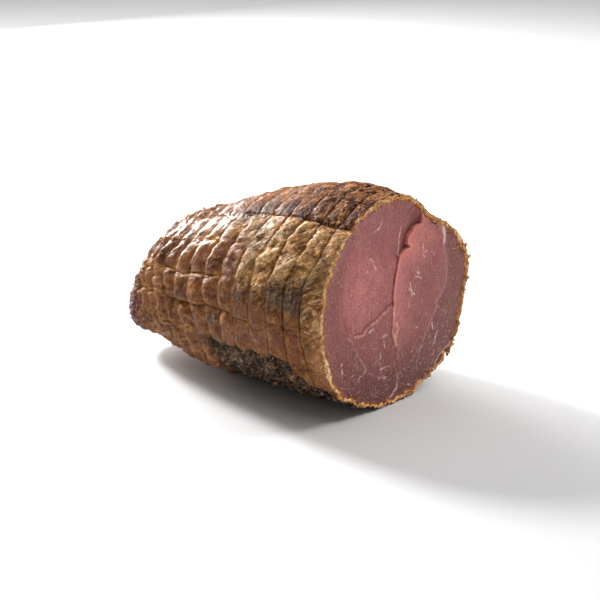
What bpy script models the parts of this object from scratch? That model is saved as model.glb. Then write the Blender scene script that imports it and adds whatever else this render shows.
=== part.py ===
"""A smoked ham, boned, rolled and netted, with its thick end cut square across.

The net that it hung in is gone, and its imprint is left: grooves round the ham and along it,
with the rind puffed up in the cells between them. The long axis is X, the cut face looks
towards +X, +Z is up, and the origin is at the middle of the underside.
"""

import math

import bmesh
import bpy
import numpy as np

MM = 0.001
HAM = "ham"

# Driving dimensions: the length, and the sections at their distances behind the cut face.
LENGTH = 188 * MM
STATIONS = np.array((0, 31, 61, 91, 122, 152, 188)) * MM
HALF_WIDTHS = np.array((65.5, 71.5, 70.4, 65.0, 58.1, 51.3, 44.7)) * MM
HALF_HEIGHTS = np.array((67.5, 68.8, 65.7, 61.0, 54.5, 45.6, 35.6)) * MM
SIDE_DRIFTS = np.array((0, -4.4, -8.8, -12.9, -18.9, -27.4, -37.4)) * MM
UNDERSIDE_LIFTS = np.array((0, 0, 0, 0, 0.6, 8.5, -7.9)) * MM
FACE_MIDDLE_Y = 5.39 * MM
SECTION_POWER = 2.12

# The far end closes in a blunt round from here to the tip.
END_START = 128 * MM
END_POWER = 2.28

# The flat spot: how far the round underside is pressed in where the ham rests.
REST_PRESS = 1.2 * MM

# The net's imprint.
STRAND_COUNT = 19
FIRST_STRAND_ANGLE = 124.0
FIRST_RING = 12 * MM
LAST_RING = 166 * MM
TIGHT_RING_PITCH = 7 * MM
WIDE_RING_PITCH = 15 * MM
WIDEST_PITCH_PLACE = 80 * MM
PITCH_SPREAD_TO_CUT = 75 * MM
PITCH_SPREAD_TO_TIP = 45 * MM
RING_BOW = 2.4 * MM
STRAND_SWING = 130
STRAND_LEVEL_PLACE = 75 * MM
STRAND_SWING_START = 30 * MM
GROOVE_DEPTH = 2.0 * MM
CELL_PUFF = 0.4 * MM
ROWS_OF_A_CELL = ((0.2, 0.75), (0.5, 1.0), (0.8, 0.75), (1.0, 0.0))
ROWS_AT_THE_TIP = ((0.25, 0.8), (0.6, 1.0), (0.88, 1.0))
STRAND_CROWN = 0.05
BOW_FADE_PLACE = 173 * MM
TIP_RELIEF_SHARE = 0.2

# The cut face: the muscle at the right stands proud of its neighbour, and a ridge crosses.
STEP_HEIGHT = 1.6 * MM
STEP_WIDTH = 3 * MM
FACE_RINGS = 9
HOLLOW_DEPTH = 1.2 * MM
RIM_SET_BACK = 0.5 * MM

SPLITS_PER_CELL_ROUND = 3
RIND_COLOUR = (0.36, 0.17, 0.07, 1.0)
RIND_ROUGHNESS = 0.45


def clear_scene():
    for old in list(bpy.data.objects):
        bpy.data.objects.remove(old)


def profile(values, s):
    """A smooth curve through the stations' values, read at the distances s."""
    slopes = np.gradient(values, STATIONS)
    k = np.clip(np.searchsorted(STATIONS, s, side="right") - 1, 0, len(STATIONS) - 2)
    span = STATIONS[k + 1] - STATIONS[k]
    t = (s - STATIONS[k]) / span
    start = (1 + 2 * t) * (1 - t) ** 2 * values[k] + t * (1 - t) ** 2 * span * slopes[k]
    end = t * t * (3 - 2 * t) * values[k + 1] + t * t * (t - 1) * span * slopes[k + 1]
    return start + end


def bump(angle, centre, width):
    """A soft swelling round one angle, in degrees."""
    away = (angle - centre + 180) % 360 - 180
    return np.exp(-((away / width) ** 2))


def section_scale(s, angle):
    """How far the section leaves its even outline: flatter at the upper right near the cut."""
    near_cut = np.exp(-((s / (60 * MM)) ** 2))
    at_cut = np.exp(-((s / (20 * MM)) ** 2))
    flat_shoulder = (0.135 * near_cut + 0.03) * bump(angle, 56, 24)
    low_heel = 0.07 * near_cut * bump(angle, 322, 13)
    side_swell = 0.05 * at_cut * bump(angle, 8, 10)
    return 1 - flat_shoulder + low_heel + side_swell


def end_scale(s):
    t = np.clip((s - END_START) / (LENGTH - END_START), 0, 1)
    return (1 - t**END_POWER) ** (1 / END_POWER)


def smooth_surface(s, angle):
    """The ham's form without the net's imprint; angle runs from +Y over the top."""
    turn = np.radians(angle)
    scale = section_scale(s, angle) * end_scale(s)
    power = 2 / SECTION_POWER
    across = np.sign(np.cos(turn)) * np.abs(np.cos(turn)) ** power
    upward = np.sign(np.sin(turn)) * np.abs(np.sin(turn)) ** power
    half_height = profile(HALF_HEIGHTS, s)
    middle_y = FACE_MIDDLE_Y + profile(SIDE_DRIFTS, s)
    middle_z = profile(UNDERSIDE_LIFTS, s) + half_height - REST_PRESS
    x = LENGTH / 2 - s
    y = middle_y + profile(HALF_WIDTHS, s) * scale * across
    z = middle_z + half_height * scale * upward
    return np.stack([x + 0 * y, y, z], axis=-1)


def ring_places():
    """Distances of the net's rings behind the cut, widest apart where the ham filled the net."""
    places = [FIRST_RING]
    while places[-1] < LAST_RING:
        away = places[-1] - WIDEST_PITCH_PLACE
        spread = PITCH_SPREAD_TO_CUT if away < 0 else PITCH_SPREAD_TO_TIP
        stretch = math.exp(-((away / spread) ** 2))
        places.append(places[-1] + TIGHT_RING_PITCH + (WIDE_RING_PITCH - TIGHT_RING_PITCH) * stretch)
    return places


def station_rows():
    """Each row's distance behind the cut, and its height between groove (0) and crown (1)."""
    edges = [0.0, *ring_places(), LENGTH]
    rows = [(0.0, 1.0)]
    for near, far in zip(edges, edges[1:]):
        shares = ROWS_AT_THE_TIP if far == LENGTH else ROWS_OF_A_CELL
        rows += [(near + share * (far - near), crown) for share, crown in shares]
    return rows


def ring_wave(angle):
    """How far the rings bow towards the far end at the near side, and back again above it."""
    return RING_BOW * (bump(angle, 165, 22) - bump(angle, 128, 18) + 0.5 * np.sin(np.radians(2 * angle)))


def strand_swing(s):
    """How far the strands swing round behind the cut, in degrees."""
    return STRAND_SWING * (STRAND_LEVEL_PLACE - np.maximum(s, STRAND_SWING_START))


def rind_point_rows():
    """The points of the rind, one row of them for each station."""
    count = STRAND_COUNT * SPLITS_PER_CELL_ROUND
    step = np.arange(count)
    strand_height = np.where(step % SPLITS_PER_CELL_ROUND == 0, STRAND_CROWN, 1.0)
    angle = FIRST_STRAND_ANGLE + step * 360 / count
    rows = []
    for s, ring_height in station_rows():
        fade = math.sqrt(math.sin(math.pi * min(s / BOW_FADE_PLACE, 1.0)))
        bowed = np.clip(s + ring_wave(angle) * fade, 0, LENGTH)
        turned = angle + strand_swing(s)
        height = np.minimum(ring_height, strand_height)
        relief = CELL_PUFF * height - GROOVE_DEPTH * (1 - height)
        relief = relief * min(1.0, TIP_RELIEF_SHARE + end_scale(s)) * (s > 0)
        point = smooth_surface(bowed, turned)
        outward = point - smooth_surface(bowed, turned + 180)
        outward[:, 0] = 0
        outward /= np.linalg.norm(outward, axis=1, keepdims=True)
        point = point + outward * relief[:, None]
        point[:, 2] = np.maximum(point[:, 2], 0)
        rows.append(point)
    return rows


def face_relief(y, z):
    """How far the cut lies behind its proudest muscle, at a place on the face."""
    seam_y = 3 * MM + 22 * MM * np.exp(-(((z - 132 * MM) / (26 * MM)) ** 2))
    right_muscle = 0.5 + 0.5 * np.tanh((y - seam_y) / STEP_WIDTH)
    hollow_y = (y - seam_y + 9 * MM) / (9 * MM)
    hollow_z = (z - 112 * MM) / (18 * MM)
    hollow = np.exp(-(hollow_y**2) - hollow_z**2)
    ridge_z = 60 * MM + 0.4 * y
    lower_muscle = 0.5 + 0.5 * np.tanh((ridge_z - z) / STEP_WIDTH)
    left_step = STEP_HEIGHT * (1 - right_muscle) * (1 - 0.5 * lower_muscle)
    return left_step + HOLLOW_DEPTH * hollow


def face_point_rows(rim):
    """Rings of points over the cut, from its middle out to just inside the rim."""
    middle = rim.mean(axis=0)
    rows = []
    for k in range(FACE_RINGS):
        share = k / FACE_RINGS
        point = middle + (rim - middle) * share
        point[:, 0] = LENGTH / 2 - face_relief(point[:, 1], point[:, 2])
        rows.append(point)
    return rows


def ham_mesh():
    """A round primitive whose rows of points are moved out to the cut face and the rind."""
    rind = rind_point_rows()
    rind[0][:, 0] = LENGTH / 2 - RIM_SET_BACK
    rows = face_point_rows(rind[0]) + rind
    tip = smooth_surface(np.array([LENGTH]), np.array([0.0]))
    rows.append(np.repeat(tip, len(rind[0]), axis=0))
    count = len(rind[0])
    last = len(rows) - 1
    body = bmesh.new()
    bmesh.ops.create_uvsphere(body, u_segments=count, v_segments=last, radius=1.0)
    for vertex in body.verts:
        row = round(math.acos(max(-1.0, min(1.0, vertex.co.z))) / math.pi * last)
        column = round(math.atan2(vertex.co.y, vertex.co.x) / math.tau * count) % count
        vertex.co = rows[row][column]
    bmesh.ops.recalc_face_normals(body, faces=body.faces[:])
    bmesh.ops.triangulate(body, faces=body.faces[:])
    mesh = bpy.data.meshes.new(HAM)
    body.to_mesh(mesh)
    body.free()
    mesh.shade_smooth()
    mesh.set_sharp_from_angle(angle=math.radians(50))
    return mesh


def rind_material():
    material = bpy.data.materials.new("smoked_rind")
    material.use_nodes = True
    finish = material.node_tree.nodes["Principled BSDF"]
    finish.inputs["Base Color"].default_value = RIND_COLOUR
    finish.inputs["Roughness"].default_value = RIND_ROUGHNESS
    finish.inputs["Metallic"].default_value = 0.0
    return material


def build():
    clear_scene()
    parts = bpy.data.collections.new("smoked_ham")
    bpy.context.scene.collection.children.link(parts)
    ham = bpy.data.objects.new(HAM, ham_mesh())
    ham.data.materials.append(rind_material())
    parts.objects.link(ham)


build()
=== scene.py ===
"""The looks of a smoked ham that was cured in a net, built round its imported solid."""

import math

import bpy
import numpy as np
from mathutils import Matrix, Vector


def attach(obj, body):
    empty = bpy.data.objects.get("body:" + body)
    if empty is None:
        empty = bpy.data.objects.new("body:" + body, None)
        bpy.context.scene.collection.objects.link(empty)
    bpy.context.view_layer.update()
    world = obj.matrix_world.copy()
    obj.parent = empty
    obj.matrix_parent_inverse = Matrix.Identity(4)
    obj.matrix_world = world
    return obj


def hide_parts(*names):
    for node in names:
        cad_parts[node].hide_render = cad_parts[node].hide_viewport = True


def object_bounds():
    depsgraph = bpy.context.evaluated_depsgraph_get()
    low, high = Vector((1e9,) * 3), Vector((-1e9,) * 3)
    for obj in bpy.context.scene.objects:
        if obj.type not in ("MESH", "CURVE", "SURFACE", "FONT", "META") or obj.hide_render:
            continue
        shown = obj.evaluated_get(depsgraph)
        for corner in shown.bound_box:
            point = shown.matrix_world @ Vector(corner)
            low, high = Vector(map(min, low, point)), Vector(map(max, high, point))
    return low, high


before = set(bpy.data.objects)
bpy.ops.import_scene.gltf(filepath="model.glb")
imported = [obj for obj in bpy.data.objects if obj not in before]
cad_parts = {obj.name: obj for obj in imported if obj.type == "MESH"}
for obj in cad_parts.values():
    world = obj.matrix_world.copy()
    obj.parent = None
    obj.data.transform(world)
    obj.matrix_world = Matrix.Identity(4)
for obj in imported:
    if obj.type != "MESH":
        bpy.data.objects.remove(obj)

bl_info = {
    "name": "Smoked Ham",
    "version": (1, 0, 0),
    "blender": (4, 5, 0),
    "location": "View3D > Sidebar > Ham",
    "description": "Builds the rind, the cut meat and the crumbly rim of a netted smoked ham",
    "category": "Add Mesh",
}

CAD_LOW, CAD_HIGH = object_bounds()
MM = 0.001

# The ham's form in millimetres, as its solid has it: s runs from the cut to the tip.
LENGTH = (CAD_HIGH.x - CAD_LOW.x) / MM
FACE_X = LENGTH / 2
STATIONS = np.array((0, 31, 61, 91, 122, 152, 188.0))
HALF_WIDTHS = np.array((65.5, 71.5, 70.4, 65.0, 58.1, 51.3, 44.7))
HALF_HEIGHTS = np.array((67.5, 68.8, 65.7, 61.0, 54.5, 45.6, 35.6))
SIDE_DRIFTS = np.array((0, -4.4, -8.8, -12.9, -18.9, -27.4, -37.4))
UNDERSIDE_LIFTS = np.array((0, 0, 0, 0, 0.6, 8.5, -7.9))
FACE_MIDDLE = (5.39, 66.3)
SECTION_POWER = 2.12
END_START = 128.0
END_POWER = 2.28
REST_PRESS = 1.2

# The net's imprint, in millimetres and degrees.
STRANDS = 19
STRAND_STEP = 360 / STRANDS
FIRST_STRAND = 124.0
FIRST_RING = 12.0
LAST_RING = 166.0
TIGHT_PITCH = 7.0
WIDE_PITCH = 15.0
WIDEST_PLACE = 80.0
SPREAD_TO_CUT = 75.0
SPREAD_TO_TIP = 45.0

# How finely the rind is divided.
ROWS_PER_CELL = 15
COLUMNS_PER_CELL = 20
COLUMNS = STRANDS * COLUMNS_PER_CELL
GROOVE_CROWDING = 0.09
MEAN_RADIUS = 62.0
STRAND_LEVEL_PLACE = 75
SWING_START = 30
FAR_SWING_START = 50

# How far behind the proudest muscle things lie at the cut, and how the meat sits in the rind.
SKIN_SET_BACK = 0.3
RIM_SET_BACK = 0.9
LIP_SET_BACK = 0.35
EDGE_SET_BACK = 0.6
MEAT_SET_BACK = 0.1
TIP_SET_BACK = 0.2
MEAT_OVERLAP = 0.45
FLOOR_CLEARANCE = 4.0

# Edges of the meat that turn by fewer degrees than this are smooth.
SMOOTH_UP_TO = 75

# The crumbly stretch of the rim, in degrees: from 340 on, past 360, and until 110.
CRUMBLY_FROM = 340
CRUMBLY_UNTIL = 110

# Soft spots on the rind: distance, angle, reach along and round, and strength where it isn't 1.
SPOTS = {
    "pale": ((52, 139, 8, 8), (38, 139, 5, 7, 0.5), (26, 136, 14, 6, 0.55), (57, 150, 4, 6, 0.5),
             (2, 178, 2.5, 14, 0.4), (38, 112, 5, 9, 0.3)),
    "grey": ((28, 168.5, 11, 8, 1.1), (17, 170, 6, 8, 0.85), (14, 160, 5, 4, 0.5), (80, 185, 5.5, 2.6, 1.7),
             (55, 172, 3, 4, 0.8), (50, 144, 9, 1.6, 0.7), (33, 135, 3, 2.5, 0.5), (115, 174, 4, 5, 0.9)),
    "dark": ((48, 120, 4.5, 7.5), (35, 127, 4.5, 2, 0.8), (48, 130, 4, 2, 0.6), (74, 116, 4, 5, 0.55),
             (138, 150, 3, 12, 0.5), (131, 142, 4, 4, 0.45), (16, 205.5, 7, 1.3, 0.9), (6, 219, 6, 4, 0.5)),
    "rosy": ((7, 151, 4, 5), (7, 162, 6, 4), (60, 152, 4, 5, 0.7), (2, 171, 3, 7, 0.8),
             (10, 128, 12, 1.5, 0.7), (20, 131, 5, 3, 0.6), (85, 152, 4, 5, 0.6), (6, 178, 4, 8, 0.8),
             (26, 126, 6, 2, 0.5), (40, 168, 4, 8, 0.5)),
    "tan": ((7, 197, 5, 6), (14, 212, 7, 4.5, 0.9)),
    # These spots darken the rind's colour: painted shade.
    "painted_shade": ((74, 120, 22, 8), (57, 133, 8, 6, 0.8), (112, 106, 30, 8, 0.35), (78, 156, 28, 6, 0.7)),
    # These spots lighten the rind: partly paler skin, partly painted sheen.
    "lighter_skin_and_sheen": ((2, 170, 6, 36, 0.55), (12, 147, 9, 6, 0.8), (142, 168, 20, 20, 0.9), (115, 160, 7, 7, 0.5),
                (122, 124, 26, 12, 0.9), (3, 200, 4.5, 15, 0.9)),
    "pit": ((109, 157, 3, 3), (136, 147, 2.2, 6, 0.7), (140, 118, 2, 4, 0.6), (127, 172, 2, 3, 0.5)),
}


# Noise and falloffs

def hashed(cells, seed):
    """A number from -1 to 1 for each whole-numbered place."""
    x, y, z = (cells[..., k].astype(np.int64).astype(np.uint32) for k in range(3))
    mixed = x * np.uint32(374761393) + y * np.uint32(668265263) + z * np.uint32(2246822519)
    mixed = mixed + np.uint32((seed * 3266489917 + 374761393) % 2**32)
    mixed = (mixed ^ (mixed >> np.uint32(15))) * np.uint32(2246822519)
    mixed = (mixed ^ (mixed >> np.uint32(13))) * np.uint32(3266489917)
    mixed = mixed ^ (mixed >> np.uint32(16))
    return mixed / 2.0**31 - 1


def noise(points, seed):
    """Smooth noise about 0, with features one unit of the points across."""
    base = np.floor(points)
    part = points - base
    blend = part * part * part * (part * (part * 6 - 15) + 10)
    total = np.zeros(points.shape[:-1])
    for corner in np.ndindex(2, 2, 2):
        place = base + corner
        away = part - corner
        slope = np.stack([hashed(place, seed + 101 * k) for k in range(3)], axis=-1)
        share = np.prod(np.where(corner, blend, 1 - blend), axis=-1)
        total += share * (slope * away).sum(axis=-1)
    return total * 1.6


def fractal(points, seed, octaves=3):
    """Noise with finer and weaker noise added."""
    total = np.zeros(points.shape[:-1])
    for k in range(octaves):
        total += noise(points * 2.1**k, seed + 17 * k) * 0.5**k
    return total


def ridges(points, seed):
    """Thin raised lines, 1 along each crest and 0 between them."""
    return np.clip(1 - 3.2 * np.abs(noise(points, seed)), 0, 1) ** 2


def ramp(value, start, end):
    """A smooth rise from 0 at the start to 1 at the end."""
    t = np.clip((value - start) / (end - start), 0, 1)
    return t * t * (3 - 2 * t)


def bump(value, centre, width):
    """A soft swelling, 1 at its centre, over a value."""
    return np.exp(-(((value - centre) / width) ** 2))


def turn_bump(angle, centre, width):
    """The same round the ham, over an angle in degrees."""
    away = (angle - centre + 180) % 360 - 180
    return np.exp(-((away / width) ** 2))


def patch(s, angle, place, turn, along, round_way, strength=1.0):
    """A soft spot on the rind, round a distance and an angle, with its reach along and round."""
    return strength * (bump(s, place, along) * turn_bump(angle, turn, round_way))


def spots(s, angle, name):
    """All the soft spots of one kind, added up."""
    return sum(patch(s, angle, *spot) for spot in SPOTS[name])


# The ham's form

def profile(values, s):
    """A smooth curve through the stations' values, read at the distances s."""
    slopes = np.gradient(values, STATIONS)
    k = np.clip(np.searchsorted(STATIONS, s, side="right") - 1, 0, len(STATIONS) - 2)
    span = STATIONS[k + 1] - STATIONS[k]
    t = (s - STATIONS[k]) / span
    start = (1 + 2 * t) * (1 - t) ** 2 * values[k] + t * (1 - t) ** 2 * span * slopes[k]
    end = t * t * (3 - 2 * t) * values[k + 1] + t * t * (t - 1) * span * slopes[k + 1]
    return start + end


def section_scale(s, angle):
    """How far the section leaves its even outline: flatter at the upper right near the cut."""
    near_cut = bump(s, 0, 60)
    flat_shoulder = (0.135 * near_cut + 0.03) * turn_bump(angle, 56, 24)
    low_heel = 0.07 * near_cut * turn_bump(angle, 322, 13)
    side_swell = 0.05 * bump(s, 0, 20) * turn_bump(angle, 8, 10)
    return 1 - flat_shoulder + low_heel + side_swell


def end_scale(s):
    t = np.clip((s - END_START) / (LENGTH - END_START), 0, 1)
    return (1 - t**END_POWER) ** (1 / END_POWER)


def smooth_surface(s, angle):
    """The form without the net's imprint, in millimetres; angle runs from +Y over the top."""
    turn = np.radians(angle)
    scale = section_scale(s, angle) * end_scale(s)
    power = 2 / SECTION_POWER
    across = np.sign(np.cos(turn)) * np.abs(np.cos(turn)) ** power
    upward = np.sign(np.sin(turn)) * np.abs(np.sin(turn)) ** power
    half_height = profile(HALF_HEIGHTS, s)
    y = FACE_MIDDLE[0] + profile(SIDE_DRIFTS, s) + profile(HALF_WIDTHS, s) * scale * across
    z = profile(UNDERSIDE_LIFTS, s) + half_height * (1 + scale * upward) - REST_PRESS
    return np.stack([FACE_X - s + 0 * y, y, z], axis=-1)


def outward_normal(s, angle):
    """The smooth form's outward direction."""
    inner = np.clip(s, 0.5, LENGTH - 1.0)
    along = smooth_surface(inner + 0.4, angle) - smooth_surface(inner - 0.4, angle)
    round_way = smooth_surface(inner, angle + 0.4) - smooth_surface(inner, angle - 0.4)
    normal = np.cross(along, round_way)
    normal /= np.linalg.norm(normal, axis=-1, keepdims=True) + 1e-12
    outward = smooth_surface(inner, angle) - smooth_surface(inner, angle + 180)
    flip = np.sign((normal * outward).sum(axis=-1, keepdims=True))
    return normal * flip


def skin_point(s, angle, along, round_way, twist=0.0):
    """A place for noise that lies on the rind, stretched to the two given sizes."""
    turn = np.radians(angle - twist * s)
    radius = MEAN_RADIUS * end_scale(s) / round_way
    return np.stack([s / along, radius * np.cos(turn), radius * np.sin(turn)], axis=-1)


# The net's imprint

def ring_places():
    """Distances of the net's rings behind the cut, widest apart where the ham filled the net."""
    places = [FIRST_RING]
    while places[-1] < LAST_RING:
        away = places[-1] - WIDEST_PLACE
        spread = SPREAD_TO_CUT if away < 0 else SPREAD_TO_TIP
        stretch = math.exp(-((away / spread) ** 2))
        places.append(places[-1] + TIGHT_PITCH + (WIDE_PITCH - TIGHT_PITCH) * stretch)
    return places


def crowded(share):
    """Moves evenly spaced shares of a cell towards its two grooves."""
    return share - GROOVE_CROWDING * np.sin(2 * np.pi * share)


def net_rows():
    """For each row: distance, share of its cell, the cell's length and its number."""
    edges = [0.0, *ring_places(), LENGTH]
    rows = []
    for cell, (near, far) in enumerate(zip(edges, edges[1:])):
        share = np.arange(ROWS_PER_CELL) / ROWS_PER_CELL
        share = 1 - (1 - share) ** 2 if far == LENGTH else crowded(share)
        for t in share:
            rows.append((near + t * (far - near), t, far - near, cell))
    return np.array(rows)


def net_grid(sizes):
    """The net's measure of every point of the rind, as arrays of rows by columns."""
    rows = net_rows()
    step = np.arange(COLUMNS)
    column_share = crowded((step % COLUMNS_PER_CELL) / COLUMNS_PER_CELL)
    strand = step // COLUMNS_PER_CELL
    s, row_share, pitch, cell = (np.repeat(rows[:, k : k + 1], COLUMNS, axis=1) for k in range(4))
    angle = FIRST_STRAND + (strand + column_share)[None, :] * STRAND_STEP + 0 * s
    angle = angle + sizes.strand_swing * (STRAND_LEVEL_PLACE - np.maximum(s, SWING_START))
    angle = angle - 0.09 * np.maximum(s - FAR_SWING_START, 0) * turn_bump(angle, 122, 22)
    loose = ramp(s, 0, 10) * ramp(LENGTH - s, 0, 30)
    bow = turn_bump(angle, 165, 22) - turn_bump(angle, 128, 18)
    bow = bow + 0.5 * np.sin(np.radians(2 * angle))
    far = ramp(s, 50, 95)
    pull = far * (4.5 * turn_bump(angle, 146, 18) - 5.5 * turn_bump(angle, 200, 18))
    pull = pull - 2.0 * ramp(35 - s, 0, 15) * turn_bump(angle, 150, 9)
    wobble = 0.7 * noise(skin_point(s, angle, 24, 17), 5) + 0.45 * noise(skin_point(s, angle, 9, 6), 6)
    angle = angle + 1.6 * noise(skin_point(s, angle, 26, 24), 7) + 0.8 * noise(skin_point(s, angle, 8, 8), 8)
    sway = noise(np.stack([cell * 3.1 + 0.5, angle / 40, 0 * s], axis=-1), 9)
    angle = angle + 14.0 * sway * row_share * (1 - row_share) * ramp(s, 12, 30) * ramp(angle, 130, 150)
    bowed = np.clip(s + (sizes.ring_bow / MM * bow + pull + wobble) * loose, 0, LENGTH)
    strand = np.repeat(strand[None, :], len(rows), axis=0)
    column_share = np.repeat(column_share[None, :], len(rows), axis=0)
    return {
        "s": bowed,
        "angle": angle,
        "ring_share": row_share,
        "strand_share": column_share,
        "pitch": pitch,
        "cell": cell,
        "strand": strand,
    }


def smoke_edge(grid):
    """The angle where the blackened underside begins; the cells above it hang over it."""
    s = grid["s"]
    places = (0, 8, 14, 19, 23, 30, 60, 80, 96)
    angles = (229, 217, 218, 212, 201, 197, 197, 198, 193)
    hang = 1 - (2 * grid["ring_share"] - 1) ** 2
    return np.interp(s, places, angles) + 3.2 * hang * ramp(s, 20, 30)


def rind_zones(grid):
    """Where the rind is barky, golden, pale, grey, sooty, red or wet, as masks from 0 to 1; also spots of
    painted shade, and spots lightened as paler skin and painted sheen.
    """
    s, angle = grid["s"], grid["angle"] % 360
    drift = fractal(skin_point(s, angle, 16, 14), 21)
    fine = fractal(skin_point(s, angle, 5, 5), 22)
    first_strand = FIRST_STRAND + 3.6 - 0.08 * np.maximum(s - SWING_START, 0)
    first_strand = first_strand - 0.085 * np.maximum(s - FAR_SWING_START, 0)
    above = ramp(first_strand - angle + 0.8 * fine, -1.0, 1.2) * ramp(angle, 20, 60)
    bark = above * ramp(46 - s + 16 * drift, 0, 22) + 0.45 * above * ramp(100 - s + 20 * drift, 0, 40)
    bark = bark * (1 - 0.8 * patch(s, angle, 4, 99, 9, 7))
    below = ramp(angle - smoke_edge(grid) + 1.2 * fine, -0.6, 0.9) * ramp(334 - angle + 8 * drift, 0, 8)
    smoke = below * ramp(93 - s + 3 * fine + 24 * ramp(angle, 250, 290), 0, 4)
    cap = ramp(s + 6 * drift, 156, 163) * turn_bump(angle, 193, 30) + 0.75 * ramp(s + 5 * drift, 170, 180)
    golden = ramp(angle - first_strand, -1.0, 1.5) * ramp(168 + 8 * drift - angle, 0, 14)
    golden = golden * ramp(66 + 8 * drift - s, 0, 14) * (0.55 + 0.45 * ramp(s, 3, 14))
    golden = golden * (1 - 0.55 * ramp(14 - s, 0, 4) * ramp(angle, 138, 146))
    golden = golden + 0.6 * turn_bump(angle, 133, 9) * ramp(126 - s, 0, 30) * ramp(0.6 + drift, 0, 0.8)
    golden = golden + 0.7 * turn_bump(angle, 60, 40) * ramp(110 - s + 30 * drift, 0, 40)
    wet = ramp(s, 78, 98) * ramp(turn_bump(angle, 130, 16) + 0.25 * drift, 0.1, 0.6) * (1 - 0.7 * above)
    wet = wet + patch(s, angle, 114, 147, 10, 9) - 0.8 * turn_bump(angle, 142 - 0.09 * (s - 60), 2.5)
    dull = ramp(122 - angle, 0, 6) * ramp(angle, 60, 90) * ramp(100 - s, 0, 20)
    dull = dull + patch(s, angle, 49, 131, 11, 7)
    pale, grey, dark, rosy, tan, painted_shade, lighter_skin_and_sheen = (
        spots(s, angle, name) for name in ("pale", "grey", "dark", "rosy", "tan", "painted_shade", "lighter_skin_and_sheen"))
    return {
        "bark": np.clip(bark, 0, 1),
        "golden": np.clip(golden * (1 - 0.9 * bark), 0, 1),
        "pale": ramp(pale + 0.3 * fine, 0.3, 1.0),
        "grey": ramp(grey + 0.35 * fine, 0.3, 0.95) * (1 - smoke),
        "smoke": np.clip(smoke, 0, 1),
        "dark": ramp(dark + 0.3 * fine, 0.3, 0.8) * (1 - smoke),
        "rosy_skin": ramp(rosy + 0.3 * fine, 0.3, 0.9) * (1 - smoke),
        "tan": ramp(tan + 0.2 * fine, 0.2, 0.8) * (1 - smoke),
        "maroon": np.clip(cap, 0, 1),
        "wet": np.clip(wet * (1 - smoke), 0, 1),
        "dull": np.clip(dull, 0, 1),
        "painted_shade": ramp(painted_shade + 0.15 * fine, 0.0, 1.0),
        "lighter_skin_and_sheen": ramp(lighter_skin_and_sheen + 0.2 * fine, 0.0, 1.0) * (1 - smoke) * (1 - 0.6 * np.clip(rosy, 0, 1)),
    }


def slanting_ridge(s, angle, place, turn, slope, above, below):
    """A ridge of skin that climbs past a distance and an angle, with its reach above and below."""
    away = (angle - (turn + slope * (s - place))) * 1.15
    return np.where(away < 0, bump(away, 0, above), bump(away, 0, below))


def fold_ridges(s, angle):
    """The large slanting fold of skin behind the cut, two lesser ones, and the puffy cell beside them."""
    crest = slanting_ridge(s, angle, 19, 148, 0.88, 2.4, 6.0) * (ramp(s, 12, 20) * ramp(39 - s, 0, 5))
    second = slanting_ridge(s, angle, 35, 147, 0.5, 1.6, 3.5) * ramp(s, 33, 37) * ramp(49 - s, 0, 3)
    third = slanting_ridge(s, angle, 50, 152, 0.9, 1.8, 4.0) * ramp(s, 48, 52) * ramp(62 - s, 0, 3)
    return crest, np.maximum(second, third), patch(s, angle, 8, 145, 4, 6)


def strand_strengths(nearest, s):
    """How clearly each strand marked the rind, by the number of the nearest strand."""
    which = np.stack([nearest * 3.7, s / 17, 0 * s], axis=-1)
    strength = np.clip(0.4 + 1.5 * noise(which, 31), 0.04, 1)
    strength = np.where(nearest == 0, 0.95, strength)
    strength = strength * np.where(np.isin(nearest, (1, 2)), 0.06 + 0.94 * ramp(s, 46, 60), 1)
    strength = np.where(nearest == 3, np.maximum(0.75, strength) * ramp(s, 12, 20), strength)
    return strength * np.where(nearest == 1, 0.65, 1)


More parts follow.
